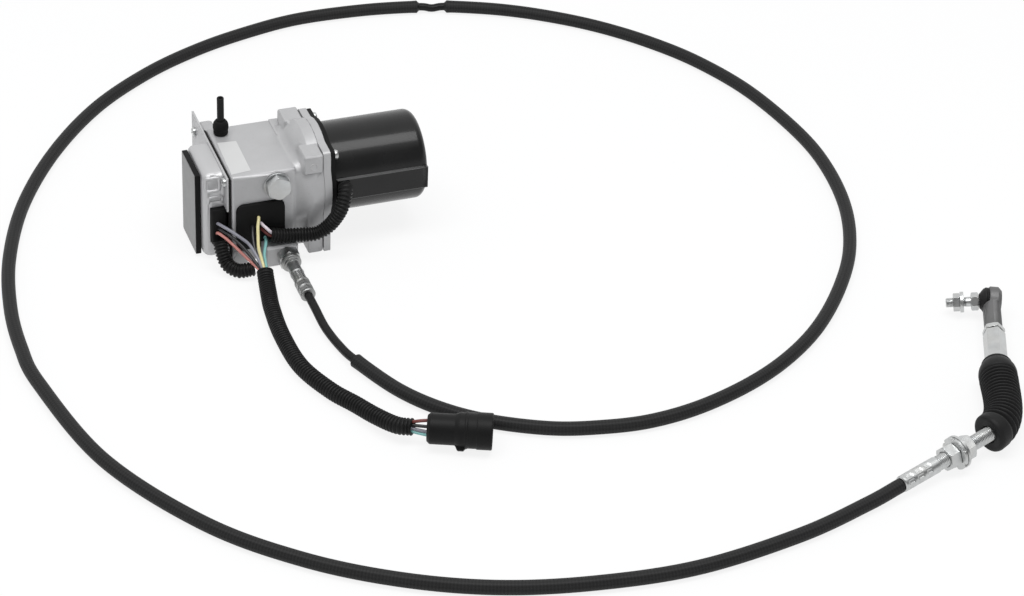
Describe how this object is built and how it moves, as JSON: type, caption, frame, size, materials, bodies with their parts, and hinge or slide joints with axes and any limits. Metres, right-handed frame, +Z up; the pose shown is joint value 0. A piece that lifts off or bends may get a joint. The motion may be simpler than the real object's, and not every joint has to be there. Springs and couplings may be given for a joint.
{
  "type": "throttle motor",
  "caption": "Geared electric motor in a cast housing that works an engine's throttle through a looped push-pull cable ending in a threaded hub, rubber boot, rod and ball joint.",
  "frame": {"origin": "on the gearbox's standing face, straight below the motor's axis, in the middle of the gearbox's length", "axes": "+X along the motor's axis from the end cover to the motor, +Y away from the wiring side, +Z up; the standing face is at Z = 0"},
  "size_m": [0.7896, 0.8614, 0.1198],
  "materials": {
    "cast_housing": "die casting under satin silver-grey paint",
    "pressed_cover": "pressed steel sheet, satin silver",
    "gasket_rubber": "matt black",
    "black_rubber": "moulded, satin black",
    "motor_black": "steel under gloss black paint",
    "zinc_steel": "steel with bright zinc plating",
    "plain_steel": "machined",
    "grey_steel": "forged, dull grey",
    "magnet": "sintered, dull dark grey",
    "black_plastic": "moulded, matt black",
    "cable_jacket": "smooth extruded, black",
    "woven_sleeve": "woven protective sleeve, black",
    "conduit_plastic": "corrugated, black",
    "wire_insulation": "coloured insulation"
  },
  "bodies": {
    "unit": {"gearbox_housing": "cast_housing", "housing_gasket": "gasket_rubber", "end_cover": "pressed_cover", "cover_pad": "black_rubber", "cover_grommet": "black_rubber", "cover_screw_1": "zinc_steel", "cover_screw_2": "zinc_steel", "cover_screw_3": "zinc_steel", "cover_screw_4": "zinc_steel", "front_grommet": "black_rubber", "breather_cap": "black_rubber", "breather_tube": "black_rubber", "plug_washer": "zinc_steel", "plug_bolt": "zinc_steel", "adapter_plate": "cast_housing", "motor_flange": "motor_black", "motor_can": "motor_black", "motor_screw_1": "zinc_steel", "motor_screw_2": "zinc_steel", "motor_screw_3": "zinc_steel", "motor_screw_4": "zinc_steel", "upper_magnet": "magnet", "lower_magnet": "magnet", "brush_plate": "black_plastic", "motor_bearing": "plain_steel", "ring_gear": "plain_steel", "output_bearing": "plain_steel", "position_sensor": "black_plastic", "cable_nut": "zinc_steel", "cable_fitting": "zinc_steel", "cable_jacket_near": "cable_jacket", "cable_sleeve_near": "woven_sleeve", "cable_jacket_gap": "cable_jacket", "cable_sleeve_far": "woven_sleeve", "main_conduit": "conduit_plastic", "motor_conduit": "conduit_plastic", "sensor_conduit": "conduit_plastic", "front_wires": "wire_insulation", "cover_wires": "wire_insulation", "cable_hub": "zinc_steel", "hub_nut_1": "zinc_steel", "hub_washer": "zinc_steel", "hub_nut_2": "zinc_steel", "bellows_boot": "black_rubber", "connector_shell": "black_plastic", "connector_pins": "grey_steel"},
    "rotor": {"armature": "plain_steel"},
    "carrier": {"gear_carrier": "plain_steel", "crank_arm": "plain_steel"},
    "planet_1": {"planet_gear_1": "plain_steel"},
    "planet_2": {"planet_gear_2": "plain_steel"},
    "planet_3": {"planet_gear_3": "plain_steel"},
    "core": {"cable_core": "zinc_steel"},
    "rod": {"push_rod": "zinc_steel", "jam_nut": "zinc_steel", "rod_end": "grey_steel"},
    "stud_tilt_frame": {"dust_boot": "black_rubber"},
    "stud": {"ball_stud": "zinc_steel", "stud_washer": "zinc_steel", "stud_nut": "zinc_steel"}
  },
  "joints": [
    {"name": "armature_spin", "type": "hinge", "parent": "unit", "child": "rotor", "pos_m": [0, 0, 0.058], "axis": [1, 0, 0], "range_deg": [-100, 100]},
    {"name": "carrier_swing", "type": "hinge", "parent": "unit", "child": "carrier", "pos_m": [0, 0, 0.058], "axis": [1, 0, 0], "range_deg": [-20.5, 20.5]},
    {"name": "planet_1_spin", "type": "hinge", "parent": "carrier", "child": "planet_1", "pos_m": [0.0443, 0.01875, 0.058], "axis": [1, 0, 0], "range_deg": [-55, 55]},
    {"name": "planet_2_spin", "type": "hinge", "parent": "carrier", "child": "planet_2", "pos_m": [0.0443, -0.00937, 0.07424], "axis": [1, 0, 0], "range_deg": [-55, 55]},
    {"name": "planet_3_spin", "type": "hinge", "parent": "carrier", "child": "planet_3", "pos_m": [0.0443, -0.00937, 0.04176], "axis": [1, 0, 0], "range_deg": [-55, 55]},
    {"name": "core_slide", "type": "slide", "parent": "unit", "child": "core", "axis": [0, 1, 0], "range_m": [-0.018, 0.018]},
    {"name": "rod_slide", "type": "slide", "parent": "unit", "child": "rod", "axis": [0.3987, 0.9171, 0], "range_m": [-0.018, 0.018], "deforming": ["bellows_boot"]},
    {"name": "stud_tilt", "type": "hinge", "parent": "rod", "child": "stud_tilt_frame", "pos_m": [0.54977, -0.28606, 0.0162], "axis": [0.3987, 0.9171, 0], "range_deg": [-10, 10], "deforming": ["dust_boot"]},
    {"name": "stud_spin", "type": "hinge", "parent": "stud_tilt_frame", "child": "stud", "pos_m": [0.54977, -0.28606, 0.0162], "axis": [-0.907, 0.3944, -0.1478], "continuous": true}
  ],
  "couplings": [
    {"joint": "carrier_swing", "follows": "armature_spin", "ratio": 0.2},
    {"joint": "planet_1_spin", "follows": "armature_spin", "ratio": -0.53333},
    {"joint": "planet_2_spin", "follows": "armature_spin", "ratio": -0.53333},
    {"joint": "planet_3_spin", "follows": "armature_spin", "ratio": -0.53333},
    {"joint": "core_slide", "follows": "armature_spin", "m_per_rad": 0.00988},
    {"joint": "rod_slide", "follows": "armature_spin", "m_per_rad": -0.00988}
  ]
}
